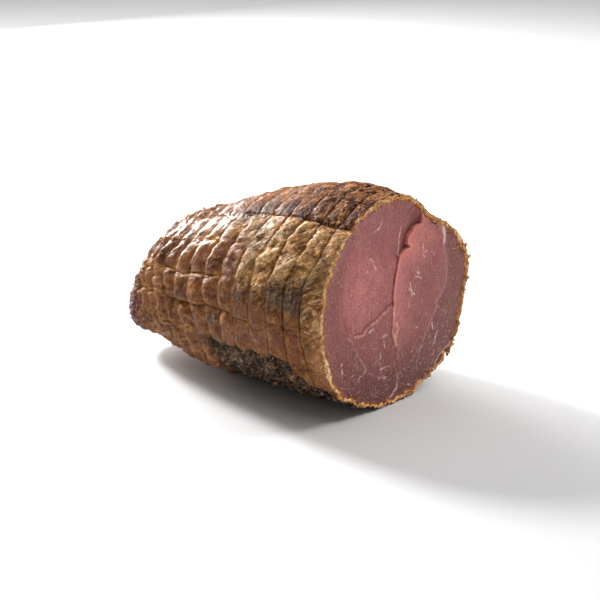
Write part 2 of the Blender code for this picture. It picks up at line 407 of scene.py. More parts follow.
def rind_relief(grid, zones, sizes):
    """The rind's height over the smooth form in millimetres, and the marks that its colours use."""
    s, angle = grid["s"], grid["angle"] % 360
    share, pitch = grid["ring_share"], grid["pitch"]
    girth = 2 * np.pi * profile(HALF_WIDTHS, s) * np.maximum(end_scale(s), 0.12)
    cell_width = girth / STRANDS
    near_gap = np.where(grid["cell"] == 0, pitch, share * pitch)
    far_gap = np.where(grid["cell"] == len(ring_places()), pitch, (1 - share) * pitch)
    ring_gap = np.minimum(near_gap, far_gap)
    strand_gap = np.minimum(grid["strand_share"], 1 - grid["strand_share"]) * cell_width
    nearest = (grid["strand"] + (grid["strand_share"] > 0.5)) % STRANDS
    netted = ramp(176 - s, 0, 14)
    strand_strength = strand_strengths(nearest, s) * netted
    ring_strength = 0.9 + 0.5 * noise(skin_point(s, angle, 10, 12), 32)
    cells = np.stack([grid["cell"], grid["strand"], 0 * s], axis=-1)
    tint, height, lean = (hashed(cells, seed) * ramp(178 - s, 0, 12) for seed in (41, 42, 43))
    back = ramp(s, 48, 90)
    near_cut = ramp(72 - s, 0, 20)
    side = ramp(angle, 127, 132) * ramp(178 - angle, 0, 18)
    calm = turn_bump(angle, 190, 15) * ramp(s, 22, 36) * ramp(80 - s, 0, 18)
    smooth_far = back * ramp(angle, 128, 136) * ramp(150 - s, 0, 15)
    puff = (0.95 + 1.15 * back) * (1 + 0.35 * height) * sizes.puff / MM
    puff = puff * (1 + 0.65 * back * turn_bump(angle, 182, 32))
    puff = puff * (1 + 0.15 * zones["bark"]) * (1 - 0.5 * zones["smoke"])
    near_round = 1 - np.exp(-((near_gap / 4.6) ** 1.15))
    far_round = 1 - np.exp(-((far_gap / (2.0 + 1.2 * back)) ** 1.25))
    round_strand = 1 - np.clip(strand_strength, 0, 1) * np.exp(-((strand_gap / 2.6) ** 1.5))
    pillow = near_round * far_round * round_strand
    swell = pillow * (1 + 0.3 * lean * (share - 0.5) + 0.7 * (share - 0.4))
    ring_notch = bump(ring_gap, 0, 0.4 + 0.2 * back) * ring_strength
    strand_notch = bump(strand_gap, 0, 0.5) * strand_strength
    depth = sizes.groove_depth / MM * (1 - 0.4 * zones["smoke"])
    lumps = fractal(skin_point(s, angle, 12, 10), 51, 2)
    folds = noise(skin_point(s, angle, 12, 3.6, 0.8), 52) + 0.6 * noise(skin_point(s, angle, 7, 1.9, 0.6), 57)
    folds = folds * near_cut * side
    warped = angle + 4 * noise(skin_point(s, angle, 5, 5), 63)
    creases = ridges(skin_point(s, warped, 8.5, 3.6, 0.25), 53)
    creases = creases + 0.7 * ridges(skin_point(s, warped, 4.2, 2.6), 64)
    knots = fractal(skin_point(s, angle, 6.0, 5.0), 58, 2)
    rough = fractal(skin_point(s, angle, 3.2, 3.0), 55, 2)
    bands = noise(skin_point(s, angle, 2.2, 6.0), 54)
    crust = ridges(skin_point(s, angle, 6, 4.5), 56)
    edge_lip = turn_bump(angle, smoke_edge(grid) - 2.2, 2.4) * ramp(97 - s, 0, 8) * ramp(s, 5, 12)
    pit = spots(s, angle, "pit")
    flap = patch(s, angle, 98, 226, 8, 9)
    notch = ring_notch * (1 + 0.5 * zones["bark"]) + 0.8 * strand_notch
    relief = puff * (swell - 0.7) - depth * notch * 0.55
    relief = relief + 0.6 * lumps + 0.6 * folds - 0.6 * ring_notch * back * turn_bump(angle, 195, 30)
    relief = relief - 0.6 * creases * (0.8 + 0.8 * back) * (1 - 0.6 * calm)
    uneven = (1 - 0.6 * calm) * (1 - 0.6 * zones["bark"]) * (1 - 0.55 * zones["wet"])
    relief = relief + ((0.55 + 0.3 * back) * knots + (0.5 - 0.1 * back) * rough) * uneven
    wrinkles = ridges(skin_point(s, warped, 9, 3.4, 0.8), 66) * near_cut * side
    wrinkles = wrinkles + 0.8 * ridges(skin_point(s, warped, 8, 2.8, 0.1), 67) * smooth_far
    relief = relief + 0.5 * wrinkles * (1 - 0.7 * calm)
    relief = relief + 0.12 * bands * (1 - 0.5 * calm)
    relief = relief + zones["smoke"] * (1.5 * rough + 1.5 * crust + 1.0 * knots - 2.5)
    relief = relief + zones["bark"] * (0.15 * rough + 0.2 * crust + 0.35 * bands)
    large_fold, small_folds, puffy = fold_ridges(s, angle)
    relief = relief + 1.0 * edge_lip + 2.6 * large_fold + 1.3 * small_folds + 1.5 * puffy
    relief = relief - 2.4 * pit + 1.6 * flap
    frays = ridges(skin_point(s, angle, 9, 2.6, 0.7), 65) * ramp(15 - s, 0, 5) * turn_bump(angle, 166, 20)
    relief = relief + 0.6 * frays
    tip_rough = ramp(s, 118, 150) * (1 - 0.6 * zones["wet"])
    relief = relief + tip_rough * (0.5 * rough + 0.7 * crust + 0.5 * knots)
    # The high mark follows the relief: its colours lighten and gild the crests and darken the creases, partly
    # the skin's colour and partly painted highlight and shade.
    high = 0.6 * folds + 0.5 * rough + 0.3 * knots + 0.5 * (pillow - 0.6) - 0.7 * (creases - 0.3)
    high = high + 0.9 * large_fold * ramp(large_fold, 0.55, 0.95) + 0.6 * small_folds + 1.2 * frays
    high = high + 0.5 * wrinkles
    broken = ramp(fractal(skin_point(s, angle, 7, 5), 59) + 0.5 * zones["bark"], -0.6, 0.1)
    # The line mark darkens the net's grooves and creases: partly their own darker skin, partly painted shade.
    line = (0.95 * ring_notch * (1 - 0.3 * back) + 0.55 * strand_notch * (nearest != 0)) * broken
    line = line + 0.8 * strand_notch * (nearest == 0) + 0.6 * ring_notch * turn_bump(angle, 200, 26) * back
    line = line + 0.35 * creases * smooth_far * ramp(angle, 150, 170)
    drift = fractal(skin_point(s, angle, 10, 9), 23)
    gold = (0.35 + 0.5 * back) * bump(ring_gap, 0.6, 0.8 + 0.35 * back)
    strand_gold = bump(strand_gap, 0.8, 0.7 + 0.7 * back) * ramp(strand_strength, 0.1, 0.5)
    strand_gold = strand_gold * np.where(nearest == 0, 0.35, np.where(nearest == 3, 0.4, 1))
    gold = gold + (0.6 + 0.4 * back) * strand_gold
    marks = {
        "line": np.clip(line, 0, 1),
        "gold": np.clip(gold * (0.15 + 0.85 * ramp(drift, -0.4, 0.5)), 0, 1) * (1 - zones["smoke"]) * netted,
        "high": ramp(high, -0.7, 0.8),
        "tint": tint,
        "tone": 0.5 + 0.5 * hashed(cells, 44) * netted,
        "rugged": (1 - 0.7 * calm) * (1 - 0.55 * smooth_far),
        "folded": near_cut * ramp(angle, 127, 132) * ramp(184 + 26 * ramp(14 - s, 0, 4) - angle, 0, 16),
        "pit": np.clip(pit, 0, 1),
        "frays": np.clip(frays, 0, 1),
    }
    return relief, marks


def rim_columns(sizes):
    """The rind's own first row, and the inner edge of its thickness at the cut."""
    grid = {name: values[:1] for name, values in net_grid(sizes).items()}
    zones = rind_zones(grid)
    relief = rind_relief(grid, zones, sizes)[0]
    middle = np.array(FACE_MIDDLE)
    outward = outward_normal(grid["s"], grid["angle"])
    outer = (smooth_surface(grid["s"], grid["angle"]) + outward * relief[..., None])[0]
    angle = grid["angle"][0]
    ragged = fractal(skin_point(0 * angle, angle, 5, 5), 61)
    ragged = ragged + noise(skin_point(0 * angle, angle, 1.8, 1.8), 62)
    share = 0.6 + 0.35 * ragged + 0.4 * turn_bump(angle, 75, 28) + 0.9 * turn_bump(angle, 203, 7)
    share = share + 0.35 * turn_bump(angle, 15, 35) - 0.15 * turn_bump(angle, 285, 45)
    share = share + 0.22 * turn_bump(angle, 160, 35)
    thickness = sizes.rim_width / MM * np.maximum(share, 0.3)
    spoke = outer[:, 1:] - middle
    radius = np.linalg.norm(spoke, axis=1)
    inner = middle + spoke * (1 - thickness / radius)[:, None]
    return outer, inner


# The cut face, in millimetres across (y) and up (z)

SEAM = (
    (28.6, 122), (28.2, 119.4), (27.1, 116.7), (26.8, 111.1), (20.4, 110), (18.9, 108), (14.8, 105.1),
    (14.3, 100.9), (16.9, 98.5), (11.3, 97.2), (7.6, 94.4), (5.5, 86.7), (3.7, 80.4), (2.7, 71), (3.1, 65),
    (2.2, 54.9), (2.1, 45.8), (3.8, 39.9), (6.3, 35.4), (7.4, 27.9), (8.5, 19.3), (7.3, 10.3), (4.3, 5),
)
LOWER_RIDGE = (
    (-40.4, 47.2), (-38.3, 50.3), (-35.5, 53.4), (-30.5, 53.6), (-24, 53), (-21.9, 55.1), (-19.1, 56.9),
    (-12.5, 58.8), (-7.4, 61.7), (-0.8, 64.2), (1.8, 65.2),
)
LEFT_ARC = ((-28, 112), (-34, 104), (-37.4, 98), (-40.4, 91.6), (-41.7, 86), (-42.3, 77.1), (-41.4, 68.2),
            (-38.5, 60.7), (-35.9, 54.2))
LOWER_ARC = (
    (-35.6, 54), (-31.2, 48.2), (-28.1, 42.1), (-22.9, 34.2), (-16.8, 26.4), (-10.7, 22.4), (-3.8, 19.5),
    (3.1, 18.2), (8.5, 18.8),
)
RIGHT_ARC = (
    (8.2, 18.3), (18.1, 20.9), (23, 25.6), (27.2, 29), (32.8, 35), (37.5, 43.4), (43, 51.1), (47, 59.7),
    (51.9, 66.1), (52.9, 73.4), (52.5, 81), (49.8, 89), (48.7, 94.2), (49.2, 98.5), (48.9, 103.5),
    (46.4, 108.9),
)
FAT_STREAK = ((45.6, 110.6), (47.6, 106), (48.9, 101), (49.2, 97), (48.9, 94))
LILAC_STREAK = ((48.9, 95), (51, 86.3), (51.9, 78.6), (52.7, 70.9), (51.2, 65.2), (48.4, 60.9))
LOWER_FAT = ((59.7, 25.4), (53, 22.1), (47.8, 19.9), (45.3, 16.4), (44.1, 11.6))
TORN_LIP = ((5.7, 52.3), (6.8, 49.5), (5.9, 46.3), (4.2, 44.8), (5.3, 41.7), (5.2, 38.5))
FLECKS = (  # where each starts and ends, and its width
    ((25, 82), (25.2, 79.1), 0.55), ((22.7, 78.5), (24.9, 77.5), 0.4), ((24.9, 77.5), (27.8, 76), 0.3),
    ((17.9, 75.5), (18.4, 70.5), 0.4), ((18.2, 71), (22, 66.6), 0.55), ((16, 72), (18.4, 71), 0.35),
    ((19.6, 68.2), (17.7, 63.7), 0.35), ((17.7, 63.7), (17.2, 60), 0.2), ((28.4, 97.1), (28.8, 93.3), 0.4),
    ((30.6, 91.7), (32, 92.8), 0.45), ((28.5, 91.9), (30.1, 88.7), 0.3), ((39, 90.5), (39.5, 88.4), 0.35),
    ((38.9, 106.3), (40.3, 106.3), 0.45), ((36.9, 92), (37.2, 91), 0.25), ((10.4, 111.7), (8.9, 105.5), 0.35),
    ((8.9, 105.5), (8.8, 99.3), 0.35), ((8.8, 99.3), (7.9, 95.4), 0.3), ((-12.6, 113.6), (-9, 115), 0.5),
    ((-9, 115), (-6.2, 118.4), 0.3), ((-14.9, 96.5), (-13.1, 92.6), 0.45), ((-13.1, 92.6), (-12, 90.6), 0.35),
    ((-17.5, 97), (-15.5, 97.8), 0.35), ((-20.6, 90), (-19.2, 92), 0.3), ((-6.2, 46.5), (-2.5, 47.3), 0.65),
    ((-18.2, 53.1), (-15, 54.3), 0.6), ((-5.4, 45.2), (-4.5, 39.5), 0.3), ((-7.4, 37.1), (-8, 32.5), 0.25),
    ((-8, 32.5), (-7.4, 25.8), 0.25), ((-7.4, 25.8), (-0.2, 26.4), 0.25), ((-5.4, 21.9), (-3.1, 19.3), 0.6),
    ((45, 36.8), (43, 32.2), 0.4), ((43, 32.2), (42.4, 28.2), 0.45), ((42.4, 28.2), (41.6, 21.7), 0.25),
    ((32.2, 31.6), (29.8, 29.5), 0.55), ((29.8, 29.5), (27.3, 27.4), 0.3), ((39.7, 43.8), (41.1, 38.9), 0.35),
    ((24.4, 44.3), (26, 45), 0.45), ((20.6, 29.8), (22.8, 31.6), 0.5), ((-41.7, 39.7), (-40.5, 34.1), 0.35),
    ((-40.5, 34.1), (-40.4, 29.9), 0.3), ((-27.8, 25.5), (-22.7, 27.7), 0.3),
    ((-22.7, 27.7), (-20.6, 30.3), 0.4),
    ((-33.3, 29.3), (-31.5, 29.5), 0.45), ((8.6, 16.5), (7.3, 10.3), 0.4), ((7.3, 10.3), (4.3, 6.7), 0.8),
    ((4.3, 6.7), (1.5, 4.8), 0.6), ((17, 9.6), (19.5, 8.2), 0.45), ((3.2, 63), (3.6, 58), 0.5),
)


def line_gap(y, z, points):
    """The distance from each place to the nearest stretch of a line."""
    nearest = np.full(y.shape, 1e3)
    for (y0, z0), (y1, z1) in zip(points, points[1:]):
        dy, dz = y1 - y0, z1 - z0
        t = np.clip(((y - y0) * dy + (z - z0) * dz) / (dy * dy + dz * dz), 0, 1)
        nearest = np.minimum(nearest, np.hypot(y - y0 - t * dy, z - z0 - t * dz))
    return nearest


def seam_side(y, z):
    """How far a place lies to the right of the seam, in millimetres."""
    heights = [p[1] for p in SEAM][::-1]
    places = [p[0] for p in SEAM][::-1]
    gap = line_gap(y, z, SEAM)
    return np.where(y > np.interp(z, heights, places), gap, -gap)


def ridge_side(y, z):
    """How far a place lies below the lower muscle's upper edge, in millimetres."""
    gap = line_gap(y, z, LOWER_RIDGE)
    below = z < np.interp(y, [p[0] for p in LOWER_RIDGE], [p[1] for p in LOWER_RIDGE])
    return np.where(below, gap, -gap)


def outside_of(y, z, line):
    """How far a place lies to the right of a line that runs up the face."""
    order = np.argsort([p[1] for p in line])
    heights = np.array([p[1] for p in line])[order]
    places = np.array([p[0] for p in line])[order]
    return y - np.interp(z, heights, places)


def muscle_inside(y, z):
    """Signed distance inside the outline of the inner muscles, in millimetres."""
    outline = RIGHT_ARC + ((30, 124), (2, 133), (-24, 124)) + LEFT_ARC + LOWER_ARC
    gap = line_gap(y, z, outline + outline[:1])
    within = np.zeros(y.shape, bool)
    for (y0, z0), (y1, z1) in zip(outline, outline[1:] + outline[:1]):
        if z0 == z1:
            continue
        crosses = ((z0 > z) != (z1 > z)) & (y < (y1 - y0) * (z - z0) / (z1 - z0) + y0)
        within ^= crosses
    return np.where(within, gap, -gap)


def face_point(y, z, size):
    """A place for noise that lies on the cut, with features of about the given size."""
    return np.stack([y / size, z / size, 0 * y + 3.3], axis=-1)


def face_marks(y, z, inside):
    """The cut's depth behind its proudest muscle, and the marks that its colours use."""
    shaky = 0.45 * fractal(face_point(y, z, 2.2), 71)
    jagged = 0.7 * fractal(face_point(y + 40, z, 2.6), 78)
    wide = fractal(face_point(y, z, 11), 72)
    side = seam_side(y + shaky, z + shaky)
    right = ramp(side, -0.3, 0.2)
    left = 1 - right
    ridge = ridge_side(y + 0.5 * jagged, z + jagged)
    lower = ramp(ridge, -0.35, 0.25) * left * ramp(y, -42, -36)
    high = ramp(z, 92, 100) * ramp(124 - z, 0, 5)
    hollow = left * high * np.exp(-np.abs(side) / 3.6)
    dished = bump(y, -20, 20) * bump(z, 82, 26) * left * (1 - lower)
    under_ridge = left * (1 - lower) * np.exp(-np.abs(ridge) / 2.2) * ramp(y, -34, -28)
    step = np.interp(z, (5, 12, 30, 60, 90, 100), (0, 0.3, 0.5, 0.5, 0.8, 2.1))
    depth = left * step * (1 - 0.5 * lower) + 0.9 * hollow + 0.5 * dished + 0.35 * under_ridge
    depth = depth * ramp(inside, 0.5, 8)
    left_arc = line_gap(y + shaky, z, LEFT_ARC)
    lower_arc = line_gap(y, z + shaky, LOWER_ARC)
    right_arc = line_gap(y + shaky, z, RIGHT_ARC)
    depth = depth + 0.4 * bump(side, -0.3, 0.3) * ramp(100 - z, 0, 6)
    depth = depth + 0.25 * (bump(left_arc, 0, 0.6) + bump(lower_arc, 0, 0.6) + bump(right_arc, 0, 0.6))
    crevice = line_gap(y, z, tuple((p[0] + 0.9, p[1] - 1.3) for p in LOWER_FAT[:4]))
    depth = depth + 1.0 * bump(crevice, 0, 0.7)
    torn = line_gap(y + jagged, z + shaky, TORN_LIP)
    beads = ramp(fractal(face_point(y, z, 1.9), 76), -0.3, 0.5)
    lumpy = bump(torn, 0, 1.0) + bump(ridge, 0.5, 0.7) * ramp(y, -34, -28) * ramp(1 - y, 0, 4)
    depth = depth - 0.8 * np.clip(lumpy, 0, 1) * beads
    depth = depth + 0.3 * wide + 0.13 * fractal(face_point(y, z, 1.7), 73)
    depth = depth + 0.4 * ridges(face_point(y, z, 6), 74) * ramp(9 - inside, 0, 8)
    white = bump(line_gap(y + shaky, z, FAT_STREAK), 0, 0.75 + 1.5 * ramp(z, 96, 107))
    lilac = bump(line_gap(y + 0.6 * shaky, z, LILAC_STREAK), 0, 0.75)
    broken = ramp(fractal(face_point(y, z, 1.6), 77), -0.6, 0.1)
    fat = 0.95 * bump(line_gap(y, z, LOWER_FAT), 0, 0.45)
    for start, end, width in FLECKS:
        fleck = bump(line_gap(y + 1.4 * shaky, z + 0.8 * jagged, (start, end)), 0, width)
        fat = np.maximum(fat, fleck * broken)
    arc_right = outside_of(y, z, RIGHT_ARC)
    red = ramp(side, 0, 3) * (1 - ramp(arc_right, -6, 3))
    outer = 1 - ramp(muscle_inside(y, z) + 2 * wide, -4, 3)
    # Painted light along the edge of the proud muscle.
    edge_light = right * np.exp(-np.clip(side, 0, None) / 0.9) * (0.5 + 0.5 * ramp(z, 80, 96))
    torn_beads = ramp(fractal(face_point(y, z, 1.3), 85), -0.35, 0.35)
    salmon = np.clip(bump(torn, 0, 1.3) * beads + lumpy * (0.25 + 0.75 * torn_beads), 0, 1)
    web_zone = bump(y, -34, 20) * bump(z, 32, 16) + 0.7 * bump(y, -2, 8) * bump(z, 30, 12)
    web_zone = web_zone + 0.6 * bump(y, 40, 16) * bump(z, 44, 24) + 0.25
    web = ridges(face_point(y, z, 4.5), 79) * ridges(face_point(y, z, 12), 80) * web_zone
    web = web * ramp(noise(face_point(y, z, 1.3), 82), -0.2, 0.35)
    thin = 0.12 * bump(left_arc, 0.8, 0.4) + 0.8 * bump(lower_arc, 0, 0.4) + 0.65 * bump(right_arc, 0, 0.45)
    thin = thin * ramp(fractal(face_point(y, z, 5), 75), -0.6, 0.3)
    # Dark red seam lines; above the lower ridge and in the crevice under the fat the dark is painted shade.
    seam = 0.9 * bump(side, -0.25, 0.35) * ramp(102 - z, 0, 8) * ramp(z, 18, 24)
    seam = seam + 0.8 * bump(ridge, -1.0, 0.7) * ramp(y, -34, -28) * left
    seam = seam + 0.5 * bump(left_arc, 0, 0.4) + bump(crevice, 0, 0.7)
    rosy = bump(np.clip(side, 0, None), 0, 15) * right * ramp(z, 14, 60) * (0.5 + 0.5 * ramp(112 - z, 0, 14))
    # A painted pool of light on the left muscle, carried in the rosy mask.
    lit = bump(y, -22, 20) * bump(z, 78, 24) * left * (1 - 0.8 * lower)
    return depth, {
        "fat": np.clip(np.maximum(fat, white), 0, 1),
        "lilac": np.clip(lilac, 0, 1),
        "thin_fat": np.clip(thin + 1.1 * web, 0, 1),
        "seam": np.clip(seam, 0, 1),
        "red": np.clip(red, 0, 1),
        "rosy": np.clip(rosy + 0.5 * lit, 0, 1),
        "outer": np.clip(outer, 0, 1),
        "far_right": ramp(arc_right, -1, 3) * ramp(z, 20, 40),
        "edge_light": np.clip(edge_light + 0.35 * rosy * ramp(z, 84, 96), 0, 1),
        "salmon": salmon,
        "dry": np.clip(1 - ramp(inside + 2 * shaky, 0.2, 2.4), 0, 1),
        "low": ramp(56 - z, 0, 48),
        "shade": np.clip(hollow * 1.25, 0, 1),
    }


# Small helpers for meshes

def start_clean():
    """Leaves edit mode and deselects everything, the imported solid too."""
    if bpy.context.object and bpy.context.object.mode != "OBJECT":
        bpy.ops.object.mode_set(mode="OBJECT")
    bpy.ops.object.select_all(action="DESELECT")


def coordinates(mesh):
    flat = np.zeros(len(mesh.vertices) * 3, np.float32)
    mesh.vertices.foreach_get("co", flat)
    return flat.reshape(-1, 3).astype(float)


def move_points(mesh, points):
    mesh.vertices.foreach_set("co", np.asarray(points, np.float32).ravel())
    mesh.update()


def store(mesh, name, values):
    """Keeps a mask on the mesh's points for its material to read."""
    attribute = mesh.attributes.get(name) or mesh.attributes.new(name, "FLOAT", "POINT")
    attribute.data.foreach_set("value", np.asarray(values, np.float32).ravel())


def face_out(obj):
    """Turns the faces of a closed piece outwards."""
    bpy.context.view_layer.objects.active = obj
    bpy.ops.object.mode_set(mode="EDIT")
    bpy.ops.mesh.select_all(action="SELECT")
    bpy.ops.mesh.normals_make_consistent(inside=False)
    bpy.ops.mesh.select_all(action="DESELECT")
    bpy.ops.object.mode_set(mode="OBJECT")


def hand_over(obj, material):
    """Gives a finished piece its material, and makes it ride with the ham."""
    obj.data.materials.clear()
    obj.data.materials.append(material)
    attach(obj, "root")


# Small helpers for materials

AXIS_PLACE = (0, -0.008, 0.064)


def srgb(red, green, blue):
    """A colour in screen numbers from 0 to 255, as the shaders' linear ones."""
    def linear(value):
        value /= 255
        return value / 12.92 if value <= 0.04045 else ((value + 0.055) / 1.055) ** 2.4
    return (linear(red), linear(green), linear(blue))


def fill(tree, node, values):
    """Sets a node's inputs, each to a number or colour, to a socket, or to the mask that is named."""
    for place, value in values.items():
        if isinstance(value, str):
            value = mask(tree, value)
        if isinstance(value, bpy.types.NodeSocket):
            tree.links.new(value, node.inputs[place])
        else:
            node.inputs[place].default_value = value


def fill_named(tree, node, values):
    """The same for inputs given by their labels, with _ for each space."""
    fill(tree, node, {label.replace("_", " "): value for label, value in values.items()})


def add(tree, kind, inputs=None, **settings):
    """A node with its settings, and its inputs set or linked."""
    made = tree.nodes.new(kind)
    for name, value in settings.items():
        setattr(made, name, value)
    fill(tree, made, inputs or {})
    return made


def strength(tree, factor):
    """A mask as it is given, or worked out where it is given as a value, a start and an end."""
    return step_up(tree, *factor) if isinstance(factor, tuple) else factor


def mix(tree, factor, under, over):
    """A colour mixed from two, each a socket or a colour."""
    made = add(tree, "ShaderNodeMix", {0: strength(tree, factor)}, data_type="RGBA")
    for place, value in ((6, under), (7, over)):
        fill(tree, made, {place: value if isinstance(value, bpy.types.NodeSocket) else (*value[:3], 1.0)})
    return made.outputs[2]


def maths(tree, operation, first, second=0.0, clamp=False):
    return add(tree, "ShaderNodeMath", {0: first, 1: second}, operation=operation, use_clamp=clamp).outputs[0]


def times(tree, first, second):
    return maths(tree, "MULTIPLY", first, second)


def plus(tree, first, second):
    return maths(tree, "ADD", first, second)


def mask(tree, name):
    return add(tree, "ShaderNodeAttribute", attribute_name=name).outputs["Fac"]


def step_up(tree, value, start, end):
    """Maps a value so that it rises from 0 at the start to 1 at the end."""
    inputs = {"Value": value, "From Min": start, "From Max": end}
    return add(tree, "ShaderNodeMapRange", inputs, interpolation_type="SMOOTHSTEP").outputs["Result"]


def place_on_piece(tree):
    return add(tree, "ShaderNodeTexCoord").outputs["Object"]


def new_group(name, output, **values):
    """An empty node group that is given a place and named values, and gives one output."""
    group = bpy.data.node_groups.new(name, "ShaderNodeTree")
    group.interface.new_socket("Place", in_out="INPUT", socket_type="NodeSocketVector")
    for label, value in values.items():
        kind = "NodeSocketVector" if isinstance(value, tuple) else "NodeSocketFloat"
        socket = group.interface.new_socket(label.replace("_", " "), in_out="INPUT", socket_type=kind)
        socket.default_value = value
    kind = "NodeSocketVector" if output == "Normal" else "NodeSocketFloat"
    group.interface.new_socket(output, in_out="OUTPUT", socket_type=kind)
    given, result = group.nodes.new("NodeGroupInput"), group.nodes.new("NodeGroupOutput")
    return group, given.outputs, result


def moved(tree, operation, place, change):
    """A place with a change added to it or multiplied into it."""
    return add(tree, "ShaderNodeVectorMath", {0: place, 1: change}, operation=operation).outputs[0]


def shaken(tree, place, scale, reach):
    """A place that noise moves about, so that a cell pattern loses its straight edges."""
    bend = add(tree, "ShaderNodeTexNoise", {"Vector": place, "Scale": scale, "Detail": 2.0})
    return moved(tree, "ADD", place, moved(tree, "MULTIPLY", bend.outputs["Color"], (reach, reach, reach)))


def spread_out(tree, value, contrast):
    """A noise value made stronger about its middle, and kept from 0 to 1."""
    return maths(tree, "ADD", times(tree, maths(tree, "SUBTRACT", value, 0.5), contrast), 0.5, clamp=True)


def speckle_group():
    """Scattered specks of uneven size, from a cell pattern thinned out by its cells' colours."""
    group, given, result = new_group("specks", "Mask", Scale=700.0, Size=0.3, Share=0.3)
    place = shaken(group, given["Place"], 1100.0, 0.0016)
    cells = add(group, "ShaderNodeTexVoronoi", {"Vector": place, "Scale": given["Scale"]})
    parts = add(group, "ShaderNodeSeparateColor", {"Color": cells.outputs["Color"]})
    reach = times(group, given["Size"], plus(group, parts.outputs["Green"], 0.45))
    near = maths(group, "LESS_THAN", cells.outputs["Distance"], reach)
    chosen = maths(group, "LESS_THAN", parts.outputs["Red"], given["Share"])
    fill(group, result, {"Mask": times(group, near, chosen)})
    return group


def mottle_group():
    """Cloudy variation, from 0 to 1, that can be stretched along the piece's axes."""
    group, given, result = new_group("mottle", "Value", Stretch=(1, 1, 1), Scale=120.0, Contrast=2.0)
    place = moved(group, "MULTIPLY", given["Place"], given["Stretch"])
    clouds = add(group, "ShaderNodeTexNoise", {"Vector": place, "Scale": given["Scale"], "Detail": 6.0,
                                               "Roughness": 0.62})
    fill(group, result, {"Value": spread_out(group, clouds.outputs["Fac"], given["Contrast"])})
    return group


def folds_group():
    """Thin slanting wrinkles, from 0 to 1: noise drawn out along a helix round the long axis."""
    group, given, result = new_group("folds", "Value", Twist=14.0, Length=0.14, Scale=420.0)
    parts = add(group, "ShaderNodeSeparateXYZ", {"Vector": given["Place"]})
    angle = times(group, parts.outputs["X"], given["Twist"])
    turned = add(group, "ShaderNodeVectorRotate", {"Vector": given["Place"], "Center": AXIS_PLACE,
                                                   "Angle": angle}, rotation_type="X_AXIS")
    split = add(group, "ShaderNodeSeparateXYZ", {"Vector": turned.outputs["Vector"]}).outputs
    drawn = add(group, "ShaderNodeCombineXYZ", {"X": times(group, split["X"], given["Length"]),
                                                "Y": split["Y"], "Z": split["Z"]})
    lines = add(group, "ShaderNodeTexNoise", {"Vector": drawn.outputs["Vector"], "Scale": given["Scale"],
                                              "Detail": 3.0, "Roughness": 0.55, "Distortion": 1.2})
    fill(group, result, {"Value": spread_out(group, lines.outputs["Fac"], 2.6)})
    return group


def grain_group():
    """The fine unevenness of skin and meat, as a bumped normal; all heights are in millimetres."""
    group, given, result = new_group(
        "grain", "Normal", Fine_Scale=900.0, Fine=0.5, Pebble_Scale=420.0, Pebbles=0.5, Extra_Height=0.0)
    fine = add(group, "ShaderNodeTexNoise", {"Vector": given["Place"], "Scale": given["Fine Scale"],
                                             "Detail": 3.0, "Roughness": 0.6})
    cells = add(group, "ShaderNodeTexVoronoi", {"Vector": shaken(group, given["Place"], 500.0, 0.003),
                                                "Scale": given["Pebble Scale"]}, feature="SMOOTH_F1")
    pebble = times(group, maths(group, "SUBTRACT", 1.0, cells.outputs["Distance"]), given["Pebbles"])
    height = times(group, fine.outputs["Fac"], given["Fine"])
    height = plus(group, plus(group, height, pebble), given["Extra Height"])
    bumped = add(group, "ShaderNodeBump", {"Height": height, "Strength": 1.0, "Distance": MM})
    fill(group, result, {"Normal": bumped.outputs["Normal"]})
    return group


def shared_group(name):
    """One of the shared effects, made when it is first asked for."""
    makers = {"specks": speckle_group, "mottle": mottle_group, "folds": folds_group, "grain": grain_group}
    return bpy.data.node_groups.get(name) or makers[name]()


def effect(tree, name, **values):
    """What a shared effect gives in a material, with the material's own values."""
    made = add(tree, "ShaderNodeGroup", node_tree=shared_group(name))
    fill(tree, made, {"Place": place_on_piece(tree)})
    fill_named(tree, made, values)
    return made.outputs[0]


def mottle(tree, scale, contrast, stretch=(1, 1, 1)):
    return effect(tree, "mottle", Scale=scale, Contrast=contrast, Stretch=stretch)


def specks(tree, scale, size, share):
    return effect(tree, "specks", Scale=scale, Size=size, Share=share)


def new_material(name):
    material = bpy.data.materials.new(name)
    material.use_nodes = True
    return material, material.node_tree


def finish(tree, **values):
    """Sets the named inputs of a material's finish."""
    fill_named(tree, tree.nodes["Principled BSDF"], values)


def tinted(tree, colour, factor, share, over):
    """Lays a colour over another where a mask says so, at a share of full strength."""
    return mix(tree, maths(tree, "MULTIPLY", strength(tree, factor), share, clamp=True), colour, over)


def vary(tree, colour, value, amount):
    """Lightens a colour where a value is above a half, and darkens it where the value is below."""
    swing = times(tree, maths(tree, "SUBTRACT", value, 0.5), times(tree, amount, 2.0))
    inputs = {0: colour, "Scale": plus(tree, swing, 1.0)}
    return add(tree, "ShaderNodeVectorMath", inputs, operation="SCALE").outputs[0]


def layered(tree, colour, *layers):
    """Lays layers over a colour in turn.

    A layer of three parts is a mask, its share and its colour. A layer of two parts varies the
    lightness, and is a value and an amount.
    """
    for layer in layers:
        lay = tinted if len(layer) == 3 else vary
        colour = lay(tree, colour, *layer)
    return colour


